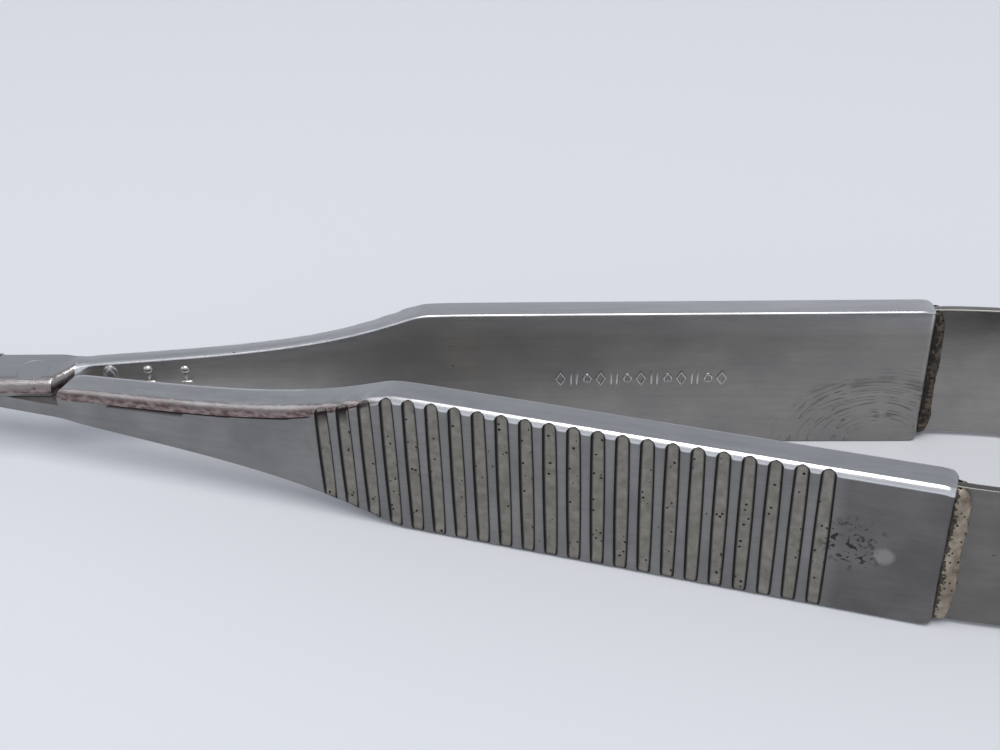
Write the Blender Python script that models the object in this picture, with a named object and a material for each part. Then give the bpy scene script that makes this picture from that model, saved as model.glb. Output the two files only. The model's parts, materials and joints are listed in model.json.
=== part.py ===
"""Spring-handled precision tweezers, lying on one side.

Two steel levers cross at a riveted lap joint. Each ends in a brazed-on leaf spring, and the two
springs meet at a riveted tail. Lengths are millimetres until an object is made, then metres.
+X runs from the jaws to the tail, +Z is the pivot's axis, and the far lever's grip is on +Y.
"""

import math

import bmesh
import bpy
from mathutils import Euler, Vector

MM = 0.001

# The two levers.
LEVER_HEIGHT = 9.0
LEVER_THICKNESS = 1.63
LEVER_REACH = 51.0
HALF_ANGLE_OPEN = math.radians(7.62)
CLOSING_ANGLE = math.radians(9.0)
HALF_ANGLE_CLOSED = HALF_ANGLE_OPEN - CLOSING_ANGLE / 2
EDGE_LAND = 0.38
EDGE_DROP = 0.35
EDGE_CHAMFER = 0.1
EDGE_ROUND = 0.26
EDGE_ROUND_AT_HUB = 0.05
NECK_START = 3.0
NECK_HALF_HEIGHT = 1.25
NECK_RISE = 1.5
NECK_FLARE_RISE = 1.75
NECK_STEP = 2.4
FLARE = 22.4
NOSE_RADIUS = 0.35
END_CORNER = 0.8
END_CORNER_DROP = 0.3

# The cross grooves of the grip.
GROOVE_COUNT = 22
GROOVE_FIRST = 18.81
GROOVE_PITCH = 1.253
GROOVE_HALF_WIDTH = 0.31
GROOVE_DEPTH = 0.17

# The lap joint.
HUB_HALF_HEIGHT = 0.95
HUB_OUTER = 1.6
HUB_INNER = 1.3
HUB_FRONT_RADIUS = 2.79
HUB_REAR_START = 1.3
HUB_REAR_END = 2.4
LAP_GAP = 0.03
SHOULDER_FRONT_RADIUS = 2.87
SHOULDER_REAR_RADIUS = 2.87
RIVET_RADIUS = 0.65
RIVET_HEAD_RADIUS = 0.92
RIVET_HEAD_DEPTH = 0.28
RUNNING_GAP = 0.02

# The jaws.
JAW_LENGTH = 14.0
JAW_TIP_WIDTH = 0.55
JAW_TIP_HALF_HEIGHT = 0.38
JAW_FACE_GAP = 0.015

# The leaf springs and the tail.
LEAF_THICKNESS = 0.45
LEAF_HALF_HEIGHT = 4.25
LEAF_TAIL_HALF_HEIGHT = 3.7
LEAF_TAPER_START = 55.0
SLOT_DEPTH = 1.6
SLOT_GAP = 0.02
LEAF_FLEX_ROOT = 51.8
LEAF_LEAVING_ANGLE = math.radians(5.5)
LEAF_ROOT_PULL = 15.0
LEAF_TAIL_PULL = 17.0
TAIL_START = 92.0
TAIL_END = 99.4
TAIL_CORNER = 1.2
TAIL_LEAF_OFFSET = 0.75
TAIL_FLEX_STEP = 0.86
TAIL_RIVET_PLACES = (94.2, 97.2)
TAIL_RIVET_RADIUS = 0.6
TAIL_RIVET_HEAD_RADIUS = 1.05
TAIL_RIVET_HEAD_HEIGHT = 0.4
BRAZE_LENGTH = 0.8
BRAZE_THICKNESS = 0.4
BRAZE_HALF_HEIGHT = 4.1

# How far the cutters stand out past the body they cut.
CUTTER_REACH = 6.0

MID_Z = LEVER_HEIGHT / 2
PIVOT_X = -(TAIL_END - JAW_LENGTH * math.cos(HALF_ANGLE_OPEN)) / 2


def clear_scene():
    """Remove every object that the file starts with."""
    for old in list(bpy.data.objects):
        bpy.data.objects.remove(old, do_unlink=True)


def make_material(name, colour, roughness, metallic):
    """One Principled material with a plain colour."""
    material = bpy.data.materials.new(name)
    material.use_nodes = True
    shader = material.node_tree.nodes["Principled BSDF"]
    shader.inputs["Base Color"].default_value = (*colour, 1.0)
    shader.inputs["Roughness"].default_value = roughness
    shader.inputs["Metallic"].default_value = metallic
    return material


def make_object(name, mesh_builder, material=None, smooth=False):
    """Turn a bmesh in millimetres into an object in metres with outward faces."""
    bmesh.ops.recalc_face_normals(mesh_builder, faces=mesh_builder.faces)
    bmesh.ops.scale(mesh_builder, vec=(MM, MM, MM), verts=mesh_builder.verts)
    mesh = bpy.data.meshes.new(name)
    mesh_builder.to_mesh(mesh)
    mesh_builder.free()
    for polygon in mesh.polygons:
        polygon.use_smooth = smooth
    made = bpy.data.objects.new(name, mesh)
    bpy.context.scene.collection.objects.link(made)
    if material is not None:
        mesh.materials.append(material)
    return made


def loft(rings):
    """Join rings of equal point counts into one closed body with a flat cap at each end."""
    builder = bmesh.new()
    rows = [[builder.verts.new(point) for point in ring] for ring in rings]
    for low, high in zip(rows, rows[1:]):
        for index in range(len(low)):
            after = (index + 1) % len(low)
            builder.faces.new((low[index], low[after], high[after], high[index]))
    builder.faces.new(rows[0])
    builder.faces.new(rows[-1])
    return builder


def prism(outline, low, high):
    """Raise a flat outline of (x, y) points from height low to height high."""
    return loft([[(x, y, z) for x, y in outline] for z in (low, high)])


def turned(profile, steps=48):
    """Turn a profile of (radius, height) points about Z. The first and last lie on the axis."""
    rings = []
    for radius, height in profile[1:-1]:
        angles = [2 * math.pi * step / steps for step in range(steps)]
        rings.append([(radius * math.cos(a), radius * math.sin(a), height) for a in angles])
    return loft(rings)


def cut(target, cutter):
    """Cut one object's shape out of another, and keep the cutter out of the part."""
    modifier = target.modifiers.new(cutter.name, "BOOLEAN")
    modifier.operation = "DIFFERENCE"
    modifier.solver = "EXACT"
    modifier.object = cutter
    cutter.hide_render = True
    cutter.display_type = "WIRE"


def smoothstep(value):
    """Ease from 0 to 1 with flat ends."""
    held = min(1.0, max(0.0, value))
    return held * held * (3 - 2 * held)


def nose_inset(along):
    """How far both faces draw in where the lever's end is rounded."""
    past = along - (LEVER_REACH - NOSE_RADIUS)
    if past <= 0:
        return 0.0
    return NOSE_RADIUS - math.sqrt(max(0.0, NOSE_RADIUS**2 - past**2))


def groove_depth(along):
    """Depth of the half-round groove that crosses the grip at this place."""
    nearest = round((along - GROOVE_FIRST) / GROOVE_PITCH)
    nearest = min(GROOVE_COUNT - 1, max(0, nearest))
    offset = abs(along - GROOVE_FIRST - nearest * GROOVE_PITCH) / GROOVE_HALF_WIDTH
    if offset >= 1:
        return 0.0
    return GROOVE_DEPTH * math.sqrt(1 - offset**2)


def jaw_face(along):
    """The jaw's biting face, which lies on the tool's middle plane when the jaws are shut."""
    return -along * math.tan(HALF_ANGLE_CLOSED) - JAW_FACE_GAP


def inner_side(along):
    """The side towards the other grip, and on the jaw the outer side."""
    if along < -HUB_FRONT_RADIUS:
        share = (-along - HUB_FRONT_RADIUS) / (JAW_LENGTH - HUB_FRONT_RADIUS)
        root = HUB_INNER + jaw_face(-HUB_FRONT_RADIUS)
        width = root + (JAW_TIP_WIDTH - root) * share**0.8
        return jaw_face(along) - width
    if along < HUB_REAR_START:
        return -HUB_INNER
    if along < HUB_REAR_END:
        return -HUB_INNER * (HUB_REAR_END - along) / (HUB_REAR_END - HUB_REAR_START)
    return nose_inset(along)


def outer_side(along):
    """The side that the fingers press, and on the jaw the biting face."""
    if along <= -HUB_FRONT_RADIUS:
        return jaw_face(along)
    hub_front = -math.sqrt(HUB_FRONT_RADIUS**2 - HUB_OUTER**2)
    if along < hub_front:
        return max(jaw_face(along), math.sqrt(HUB_FRONT_RADIUS**2 - along**2))
    swell = smoothstep(along / FLARE)
    return HUB_OUTER + (LEVER_THICKNESS - HUB_OUTER) * swell - nose_inset(along)


def half_height(along):
    """Half the lever's height: a low hub, a neck that flares to the full grip, a finer jaw."""
    if along < -HUB_FRONT_RADIUS:
        share = (-along - HUB_FRONT_RADIUS) / (JAW_LENGTH - HUB_FRONT_RADIUS)
        return HUB_HALF_HEIGHT + (JAW_TIP_HALF_HEIGHT - HUB_HALF_HEIGHT) * share
    if along < HUB_REAR_START:
        return HUB_HALF_HEIGHT
    if along > FLARE:
        past = max(0.0, along - (LEVER_REACH - END_CORNER)) / END_CORNER
        return MID_Z - END_CORNER_DROP * (1 - math.sqrt(max(0.0, 1 - past**2)))
    share = (along - NECK_START) / (FLARE - NECK_START)
    neck = NECK_HALF_HEIGHT + NECK_RISE * share + NECK_FLARE_RISE * share**4
    step = smoothstep((along - HUB_REAR_START) / NECK_STEP)
    return HUB_HALF_HEIGHT + (neck - HUB_HALF_HEIGHT) * step


def lever_section(along):
    """The 12 corners of the lever's section: a flat land, a sloping edge, a rounded outer edge."""
    inner = inner_side(along)
    outer = outer_side(along)
    high = half_height(along)
    is_handle = smoothstep((along - HUB_REAR_START) / 2.0)
    chamfer = EDGE_CHAMFER + 0.12 * smoothstep((-along - HUB_FRONT_RADIUS) / 4)
    chamfer = min(chamfer, 0.3 * (outer - inner))
    land = min(EDGE_LAND, 0.3 * (outer - inner))
    drop = EDGE_DROP * is_handle
    corner = EDGE_ROUND_AT_HUB + (EDGE_ROUND - EDGE_ROUND_AT_HUB) * is_handle
    depth = groove_depth(along)
    if depth > 0:
        corner = EDGE_ROUND_AT_HUB
    face = outer - depth
    land_end = inner + chamfer + land
    slope = drop / (outer - land_end)
    near_top = high - slope * (face - corner - land_end)
    top = high - slope * (face - land_end) - corner
    middle_top = (near_top + top) / 2 + 0.2 * corner
    upper = [
        (face, top),
        (face - 0.3 * corner, middle_top),
        (face - corner, near_top),
        (land_end, high),
        (inner + chamfer, high),
        (inner, high - chamfer),
    ]
    lower = [(across, -up) for across, up in reversed(upper)]
    return [(along, across, up) for across, up in lower + upper]


def lever_stations():
    """Places along the lever where a section is needed, from the jaw's tip to the nose."""
    places = [-JAW_LENGTH, 0.12 - JAW_LENGTH, -12.0, -9.0, -6.0, -4.0, -3.2]
    places += [-HUB_FRONT_RADIUS * math.cos(math.radians(a)) for a in (0, 9, 14, 19, 23, 27, 31)]
    places += [-math.sqrt(HUB_FRONT_RADIUS**2 - HUB_OUTER**2), 0.0, HUB_REAR_START, HUB_REAR_END]
    places += [0.4 * (HUB_REAR_START * 2 + HUB_REAR_END * 0.5), 3.1, 3.8, 5.0, 7.0, 9.0, 11.0]
    places += [13.0, 14.8, 16.4, 17.8, FLARE]
    for index in range(GROOVE_COUNT):
        centre = GROOVE_FIRST + index * GROOVE_PITCH
        for share in (-1, -0.72, 0, 0.72, 1):
            places.append(centre + share * GROOVE_HALF_WIDTH)
    bend = LEVER_REACH - NOSE_RADIUS
    places += [bend - 2.0, LEVER_REACH - END_CORNER, bend]
    places += [bend + NOSE_RADIUS * math.sin(math.radians(a)) for a in (30, 55, 75)]
    places.sort()
    return [p for p, after in zip(places, places[1:] + [math.inf]) if after - p > 0.03]


def arc(radius, first, last, steps):
    """Points on an arc about the origin, angles in degrees."""
    angles = [math.radians(first + (last - first) * step / steps) for step in range(steps + 1)]
    return [(radius * math.cos(a), radius * math.sin(a)) for a in angles]


def place_on_pivot(item, is_near):
    """Put a lever on the pivot. The near lever is the far one turned over about X."""
    flip = math.pi if is_near else 0.0
    angle = -HALF_ANGLE_OPEN if is_near else HALF_ANGLE_OPEN
    turn = Euler((flip, 0, 0)).to_matrix()
    swing = Euler((0, 0, angle)).to_matrix()
    item.rotation_euler = (swing @ turn).to_euler()
    item.location = (PIVOT_X * MM, 0, MID_Z * MM)


def make_lever(side, material):
    """One lever: a lofted forging with its lap recess, rivet hole and spring slot cut out."""
    is_near = side == "near"
    lever = make_object(f"{side}_lever", loft([lever_section(u) for u in lever_stations()]), material)
    outline = arc(SHOULDER_REAR_RADIUS, -90, 90, 24) + arc(SHOULDER_FRONT_RADIUS, 90, 270, 24)
    recess = make_object(f"{side}_recess_cutter", prism(outline, -CUTTER_REACH, LAP_GAP / 2))
    shank = RIVET_RADIUS + RUNNING_GAP
    head = RIVET_HEAD_RADIUS + RUNNING_GAP
    neck = HUB_HALF_HEIGHT - RIVET_HEAD_DEPTH
    hole = [
        (0, -CUTTER_REACH),
        (shank, -CUTTER_REACH),
        (shank, neck),
        (head, HUB_HALF_HEIGHT),
        (head, CUTTER_REACH),
        (0, CUTTER_REACH),
    ]
    drill = make_object(f"{side}_rivet_hole_cutter", turned(hole))
    half_slot = LEAF_THICKNESS / 2 + SLOT_GAP
    middle = LEVER_THICKNESS / 2
    slot_outline = [
        (LEVER_REACH - SLOT_DEPTH, middle - half_slot),
        (LEVER_REACH + 1, middle - half_slot),
        (LEVER_REACH + 1, middle + half_slot),
        (LEVER_REACH - SLOT_DEPTH, middle + half_slot),
    ]
    slot = make_object(f"{side}_slot_cutter", prism(slot_outline, -CUTTER_REACH, CUTTER_REACH))
    for cutter in (recess, drill, slot):
        cut(lever, cutter)
        place_on_pivot(cutter, is_near)
    place_on_pivot(lever, is_near)
    return lever


def make_braze(side, face, lever, material):
    """A fillet of braze in the corner between the lever's nose and one face of the leaf."""
    sign = 1 if face == "outer" else -1
    leaf_face = LEVER_THICKNESS / 2 + sign * (LEAF_THICKNESS / 2 + SLOT_GAP)
    start = LEVER_REACH + SLOT_GAP
    steps = [(0, 0), (1, 0), (0.9, 0.3), (0.6, 0.65), (0.3, 0.88), (0, 1)]
    outline = []
    for along, across in steps:
        across_leaf = leaf_face + sign * across * BRAZE_THICKNESS
        outline.append((start + along * BRAZE_LENGTH, across_leaf))
    body = prism(outline, -BRAZE_HALF_HEIGHT, BRAZE_HALF_HEIGHT)
    braze = make_object(f"{side}_braze_{face}", body, material)
    braze.parent = lever
    return braze


def make_pivot_rivet(material):
    """The flush rivet: a plain shank between two countersunk heads."""
    neck = HUB_HALF_HEIGHT - RIVET_HEAD_DEPTH
    profile = [
        (0, -HUB_HALF_HEIGHT),
        (RIVET_HEAD_RADIUS, -HUB_HALF_HEIGHT),
        (RIVET_RADIUS, -neck),
        (RIVET_RADIUS, neck),
        (RIVET_HEAD_RADIUS, HUB_HALF_HEIGHT),
        (0, HUB_HALF_HEIGHT),
    ]
    rivet = make_object("pivot_rivet", turned(profile), material)
    rivet.location = (PIVOT_X * MM, 0, MID_Z * MM)
    return rivet


def leaf_point(along, across):
    """A place on the open far lever, seen from the pivot, as (x, y)."""
    cosine = math.cos(HALF_ANGLE_OPEN)
    sine = math.sin(HALF_ANGLE_OPEN)
    return Vector((along * cosine - across * sine, along * sine + across * cosine))


def leaf_bend(share):
    """The leaf's free length as one cubic curve: from the nose, bowed out, then to the tail."""
    start = leaf_point(LEAF_FLEX_ROOT, LEVER_THICKNESS / 2)
    end = Vector((TAIL_START, TAIL_LEAF_OFFSET))
    leaving = Vector((math.cos(LEAF_LEAVING_ANGLE), math.sin(LEAF_LEAVING_ANGLE)))
    first = start + LEAF_ROOT_PULL * leaving
    second = end - Vector((LEAF_TAIL_PULL, 0))
    rest = 1 - share
    return rest**3 * start + 3 * rest**2 * share * first + 3 * rest * share**2 * second + share**3 * end


def leaf_centreline():
    """Points down the middle of the far leaf, from inside its slot to the tail's end."""
    inside = leaf_point(LEVER_REACH - SLOT_DEPTH + SLOT_GAP * 2, LEVER_THICKNESS / 2)
    points = [inside] + [leaf_bend(step / 22) for step in range(23)]
    for place in (94.0, 96.5, 98.4, 99.1, TAIL_END):
        points.append(Vector((place, TAIL_LEAF_OFFSET)))
    return points


def leaf_half_height(place):
    """Half the leaf's height: full at the lever, narrower at the tail, with rounded corners."""
    share = smoothstep((place - LEAF_TAPER_START) / (TAIL_START - LEAF_TAPER_START))
    height = LEAF_HALF_HEIGHT + (LEAF_TAIL_HALF_HEIGHT - LEAF_HALF_HEIGHT) * share
    past = max(0.0, place - (TAIL_END - TAIL_CORNER)) / TAIL_CORNER
    return height - TAIL_CORNER * (1 - math.sqrt(max(0.0, 1 - past**2)))


def tail_drill(name, side_sign):
    """The two cutters for the tail's rivet holes, along Y."""
    drills = []
    for index, place in enumerate(TAIL_RIVET_PLACES):
        hole = TAIL_RIVET_RADIUS + RUNNING_GAP
        profile = [(0, -CUTTER_REACH), (hole, -CUTTER_REACH), (hole, CUTTER_REACH), (0, CUTTER_REACH)]
        drill = make_object(f"{name}_{index}_cutter", turned(profile, 32))
        drill.rotation_euler = (side_sign * math.pi / 2, 0, 0)
        drill.location = ((PIVOT_X + place) * MM, 0, MID_Z * MM)
        drills.append(drill)
    return drills


def make_leaf(side, material):
    """One leaf spring, a thin strip set on edge. Its origin is where it bends at the lever."""
    centre = leaf_centreline()
    origin = leaf_point(LEAF_FLEX_ROOT, LEVER_THICKNESS / 2)
    rings = []
    for index, point in enumerate(centre):
        before = centre[max(0, index - 1)]
        after = centre[min(len(centre) - 1, index + 1)]
        along = (after - before).normalized()
        outward = Vector((-along.y, along.x)) * LEAF_THICKNESS / 2
        high = leaf_half_height(point.x)
        inner = point - outward - origin
        outer = point + outward - origin
        rings.append([(*inner, -high), (*outer, -high), (*outer, high), (*inner, high)])
    leaf = make_object(f"{side}_spring_leaf", loft(rings), material)
    sign = -1 if side == "near" else 1
    leaf.rotation_euler = (math.pi if side == "near" else 0.0, 0, 0)
    leaf.location = ((PIVOT_X + origin.x) * MM, sign * origin.y * MM, MID_Z * MM)
    for drill in tail_drill(f"{side}_leaf_hole", sign):
        cut(leaf, drill)
    return leaf


def make_tail(material, rivet_material):
    """The spacer between the leaves and the two rivets that hold the tail together."""
    flex = leaf_bend(TAIL_FLEX_STEP)
    hinge = bpy.data.objects.new("tail_hinge", None)
    bpy.context.scene.collection.objects.link(hinge)
    hinge.location = ((PIVOT_X + flex.x) * MM, flex.y * MM, MID_Z * MM)
    half = TAIL_LEAF_OFFSET - LEAF_THICKNESS / 2 - SLOT_GAP
    rings = []
    for place in (TAIL_START + 0.4, 94.0, 96.5, 98.4, 99.1, TAIL_END):
        high = leaf_half_height(place) - 0.05
        corners = [(-half, -high), (half, -high), (half, high), (-half, high)]
        rings.append([(place - flex.x, y - flex.y, z) for y, z in corners])
    spacer = make_object("tail_spacer", loft(rings), material)
    spacer.parent = hinge
    for drill in tail_drill("spacer_hole", 1):
        cut(spacer, drill)
    seat = TAIL_LEAF_OFFSET + LEAF_THICKNESS / 2 + SLOT_GAP
    top = seat + TAIL_RIVET_HEAD_HEIGHT
    head = TAIL_RIVET_HEAD_RADIUS
    dome = [(head, seat), (0.92 * head, seat + 0.5 * (top - seat)), (0.6 * head, top), (0, top)]
    foot = [(radius, -height) for radius, height in reversed(dome)]
    profile = foot + [(TAIL_RIVET_RADIUS, -seat), (TAIL_RIVET_RADIUS, seat)] + dome
    for name, place in zip(("front", "rear"), TAIL_RIVET_PLACES):
        rivet = make_object(f"tail_rivet_{name}", turned(profile, 32), rivet_material)
        rivet.rotation_euler = (math.pi / 2, 0, 0)
        rivet.location = ((place - flex.x) * MM, -flex.y * MM, 0)
        rivet.parent = hinge


def build():
    """Build every piece of the tweezers."""
    clear_scene()
    steel = make_material("satin_steel", (0.50, 0.50, 0.50), 0.36, 1.0)
    spring_steel = make_material("spring_steel", (0.47, 0.46, 0.44), 0.34, 1.0)
    rivet_steel = make_material("rivet_steel", (0.60, 0.60, 0.60), 0.28, 1.0)
    braze = make_material("braze", (0.55, 0.42, 0.26), 0.5, 1.0)
    for side in ("far", "near"):
        lever = make_lever(side, steel)
        make_leaf(side, spring_steel)
        for face in ("outer", "inner"):
            make_braze(side, face, lever, braze)
    make_pivot_rivet(rivet_steel)
    make_tail(steel, rivet_steel)


build()
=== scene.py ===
import json
import math

import bpy
import numpy as np
from mathutils import Matrix, Vector


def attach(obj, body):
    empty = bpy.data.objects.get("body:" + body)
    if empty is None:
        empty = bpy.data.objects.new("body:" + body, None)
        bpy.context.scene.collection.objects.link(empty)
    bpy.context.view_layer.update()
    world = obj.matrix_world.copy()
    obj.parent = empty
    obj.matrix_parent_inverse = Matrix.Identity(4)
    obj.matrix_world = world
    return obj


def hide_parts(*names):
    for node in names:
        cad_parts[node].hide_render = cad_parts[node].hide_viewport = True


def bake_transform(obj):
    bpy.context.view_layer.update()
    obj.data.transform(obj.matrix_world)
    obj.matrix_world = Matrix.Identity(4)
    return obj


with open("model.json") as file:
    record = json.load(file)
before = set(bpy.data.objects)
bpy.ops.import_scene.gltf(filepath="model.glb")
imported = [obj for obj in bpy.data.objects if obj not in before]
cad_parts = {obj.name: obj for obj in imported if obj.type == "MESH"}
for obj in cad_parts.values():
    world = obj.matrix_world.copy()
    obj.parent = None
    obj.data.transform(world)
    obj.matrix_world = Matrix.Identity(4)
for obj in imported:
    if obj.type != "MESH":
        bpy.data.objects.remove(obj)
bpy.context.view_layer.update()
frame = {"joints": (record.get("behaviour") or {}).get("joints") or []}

# The camera stands a hand's width in front of the grips and looks down on the joint and the
# levers, along the tool's middle. Its place is worked out from the pivot.
MM = 0.001
joints = {joint["name"]: joint for joint in frame["joints"]}
PIVOT = np.array(joints["pivot"]["pos_m"])
CAMERA_FROM_PIVOT = np.array((39.27, -62.17, 48.56)) * MM
CAMERA_AZIMUTH = math.radians(10.85)
CAMERA_DOWN = math.radians(35.73)
CAMERA_ROLL = math.radians(-2.18)
CAMERA_LENS = 52.1
CAMERA_CLIP = 0.002


def add_object(name, data):
    """A new object in the scene with the given data."""
    made = bpy.data.objects.new(name, data)
    bpy.context.scene.collection.objects.link(made)
    return made


def make_camera():
    """A camera turned by azimuth about Z, then tipped down, then rolled about its own axis."""
    data = bpy.data.cameras.new("camera")
    data.lens = CAMERA_LENS
    data.clip_start = CAMERA_CLIP
    camera = add_object("camera", data)
    turn = Matrix.Rotation(CAMERA_AZIMUTH, 4, "Z")
    tip = Matrix.Rotation(math.pi / 2 - CAMERA_DOWN, 4, "X")
    roll = Matrix.Rotation(CAMERA_ROLL, 4, "Z")
    place = Matrix.Translation((PIVOT + CAMERA_FROM_PIVOT).tolist())
    camera.matrix_world = place @ turn @ tip @ roll
    bpy.context.scene.camera = camera


make_camera()


# Studio: a pale matt floor, one wide soft lamp above and in front of the tool, a weaker one from
# the left, and a pale surround, brighter low down, that the steel mirrors.
FLOOR_REACH = 0.6
FLOOR_COLOUR = (0.77, 0.785, 0.83)
FLOOR_ROUGHNESS = 0.95
FLOOR_SPECULAR = 0.1
SURROUND_COLOUR = (0.86, 0.89, 0.95)
HORIZON_STRENGTH = 0.8
ZENITH_STRENGTH = 0.42
FADE_HEIGHTS = (0.1, 0.9)
SQUARE = ((-1, -1), (1, -1), (1, 1), (-1, 1))
LAMPS = {
    "lamp_above": ((0.0, -0.12, 0.40), 0.28, 0.95, (1.0, 0.995, 0.98)),
    "lamp_left": ((-0.35, -0.12, 0.30), 0.2, 0.12, (0.95, 0.97, 1.0)),
}


def feed(tree, socket, value):
    """Links another node's socket to an input, or sets the input to a plain value."""
    if isinstance(value, bpy.types.NodeSocket):
        tree.links.new(value, socket)
    else:
        socket.default_value = value


def add_node(tree, kind, inputs, **settings):
    """Adds a node, sets its plain settings, then feeds each named or numbered input."""
    node = tree.nodes.new(kind)
    for name, value in settings.items():
        setattr(node, name, value)
    for name, value in inputs.items():
        feed(tree, node.inputs[name], value)
    return node


def ramp(tree, value, low, high, first=0.0, last=1.0):
    """Maps a value between low and high to first and last, and holds it outside them."""
    inputs = {"Value": value, 1: low, 2: high, 3: first, 4: last}
    return add_node(tree, "ShaderNodeMapRange", inputs).outputs[0]


def make_lamp(name, place, size, power, colour):
    """A square soft lamp at a place in metres, facing the middle of the tool."""
    data = bpy.data.lights.new(name, "AREA")
    data.size = size
    data.energy = power
    data.color = colour
    lamp = add_object(name, data)
    lamp.location = place
    lamp.rotation_euler = (-Vector(place)).to_track_quat("-Z", "Y").to_euler()


def make_studio():
    """The floor, the lamps and the surround."""
    corners = [(x * FLOOR_REACH, y * FLOOR_REACH, 0) for x, y in SQUARE]
    mesh = bpy.data.meshes.new("floor")
    mesh.from_pydata(corners, [], [(0, 1, 2, 3)])
    material = bpy.data.materials.new("pale_floor")
    material.use_nodes = True
    shader = material.node_tree.nodes["Principled BSDF"]
    shader.inputs["Base Color"].default_value = (*FLOOR_COLOUR, 1)
    shader.inputs["Roughness"].default_value = FLOOR_ROUGHNESS
    shader.inputs["Specular IOR Level"].default_value = FLOOR_SPECULAR
    mesh.materials.append(material)
    add_object("floor", mesh)
    for name, (place, size, power, colour) in LAMPS.items():
        make_lamp(name, place, size, power, colour)
    world = bpy.data.worlds.new("surround")
    world.use_nodes = True
    tree = world.node_tree
    background = tree.nodes["Background"]
    background.inputs["Color"].default_value = (*SURROUND_COLOUR, 1)
    where = add_node(tree, "ShaderNodeTexCoord", {}).outputs["Generated"]
    height = add_node(tree, "ShaderNodeSeparateXYZ", {0: where}).outputs["Z"]
    strength = ramp(tree, height, *FADE_HEIGHTS, HORIZON_STRENGTH, ZENITH_STRENGTH)
    tree.links.new(strength, background.inputs["Strength"])
    bpy.context.scene.world = world
    bpy.context.scene.view_settings.view_transform = "Standard"


make_studio()


# The two levers: each is one stainless forging with a ribbed grip, a waisted neck, half of the lap
# joint and one jaw. Forged, ground on all faces, then the grooves are milled across the grip.
SHARP_ANGLE = math.radians(38)
HALF_ANGLE = math.radians(7.62)
FACING = {"far": -HALF_ANGLE, "near": HALF_ANGLE}
CLOSED_ANGLE = HALF_ANGLE - math.radians(4.5)
LEVER_HEIGHT = 9.0
LEVER_THICKNESS = 1.63
LEVER_REACH = 51.0
FLARE = 22.4
NECK_START = 3.0
NECK_END = FLARE + 1.0
NECK_FADE = 7.0
OUTER_SHARE = 0.45
TARNISH_END = FLARE + 0.6
TARNISH_FADE = 2.5
NECK_SOFTENING = 0.25
NECK_LOW = 1.25
NECK_SLOPE = 1.5
NECK_FLARE = 1.75
NOSE_RADIUS = 0.35
END_CORNER = 0.8
END_CORNER_DROP = 0.3
LAND = 0.38
NECK_EDGE_DROP = 0.35
GRIP_EDGE_DROP = 0.08
GROOVE_COUNT = 22
GROOVE_FIRST = 18.81
GROOVE_PITCH = 1.253
GROOVE_HALF_WIDTH = 0.36
GROOVE_DEPTH = 0.18
GROOVE_SQUARENESS = 1.9
GROOVE_LIP = 0.012
GROOVE_LIP_FADE = 8
GROOVE_SWELL = 0.045
GROOVE_NARROWING = 0.09
GROOVE_ARCH = (0.92, 0.985)
GROOVE_RUN_OUT = 0.85
GROOVE_RUN_OUT_BAND = (0.75, 0.25)
RIBBED = (17.0, 46.5)
LEDGE = 0.04
SWELL_ROUNDS = 6
TOP_SKIN = 0.012
SKIN = 0.01
SEAM_SHADOW_WIDTH = 0.14
ARCH_SHADOW_WIDTH = 0.12
ARCH_SHADOW_LEAST_DEPTH = 0.05
HUB_HALF_HEIGHT = 0.95
HUB_OUTER = 1.6
HUB_INNER = 1.3
HUB_FRONT_RADIUS = 2.79
HUB_REAR_START = 1.3
HUB_REAR_END = 2.4
HUB_RISE = 2.4
HUB_EDGE_END = 3.4
HUB_EDGE_FADE = 1.6
JAW_LENGTH = 14.0
JAW_TIP_WIDTH = 0.55
JAW_TIP_HALF_HEIGHT = 0.38
JAW_GAP = 0.015
BEVEL = 0.12
HUB_EXTRA_BEVEL = {True: 0.6, False: 0.05}
ROUNDING = {True: 0.27, False: 0.12}
NECK_EXTRA_ROUNDING = {True: 0.16, False: 0.0}
HUB_ROUNDING = 0.1
EDGE_STEP = 0.03
EDGE_STEP_END = 18.6
EDGE_STEP_HALF_WIDTH = 0.012
FLATTEST_EDGE_POWER = 1.4
LEDGE_START = 4.0
LEDGE_END = 18.4
SHOULDER_RADIUS = 2.87
SHOULDER_STEPS = 96
LAP_GAP = 0.03
RIVET_RADIUS = 0.65
RIVET_HEAD_RADIUS = 0.92
RIVET_HEAD_DEPTH = 0.28
RIVET_PLAY = 0.015
RIVET_STEPS = 72
SLOT_DEPTH = 1.6
SLOT_HALF_WIDTH = 0.245
SLOT_HALF_HEIGHT = 4.27
HUB_FRONT = -math.sqrt(HUB_FRONT_RADIUS**2 - HUB_OUTER**2)
FROM_PIVOT = Matrix.Translation(PIVOT.tolist())
SWUNG_OPEN = Matrix.Rotation(HALF_ANGLE, 4, "Z")
TURNED_OVER = {"far": Matrix.Identity(4), "near": Matrix.Rotation(math.pi, 4, "X")}


def ease(value):
    """Rises from 0 to 1 with flat ends: 3t^2 - 2t^3 of the value held between 0 and 1."""
    held = np.clip(value, 0.0, 1.0)
    return held * held * (3 - 2 * held)


def groove_cut(along):
    """Depth of the nearest groove: half an ellipse, a little squared, between two faint dips."""
    nearest = np.clip(np.round((along - GROOVE_FIRST) / GROOVE_PITCH), 0, GROOVE_COUNT - 1)
    offset = np.abs(along - GROOVE_FIRST - nearest * GROOVE_PITCH) / GROOVE_HALF_WIDTH
    inside = np.clip(1 - offset**GROOVE_SQUARENESS, 0, 1)
    lip = GROOVE_LIP * np.exp(-np.clip(offset - 1, 0, None) * GROOVE_LIP_FADE)
    return np.where(offset < 1, GROOVE_LIP + (GROOVE_DEPTH - GROOVE_LIP) * inside**0.5, lip)


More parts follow.
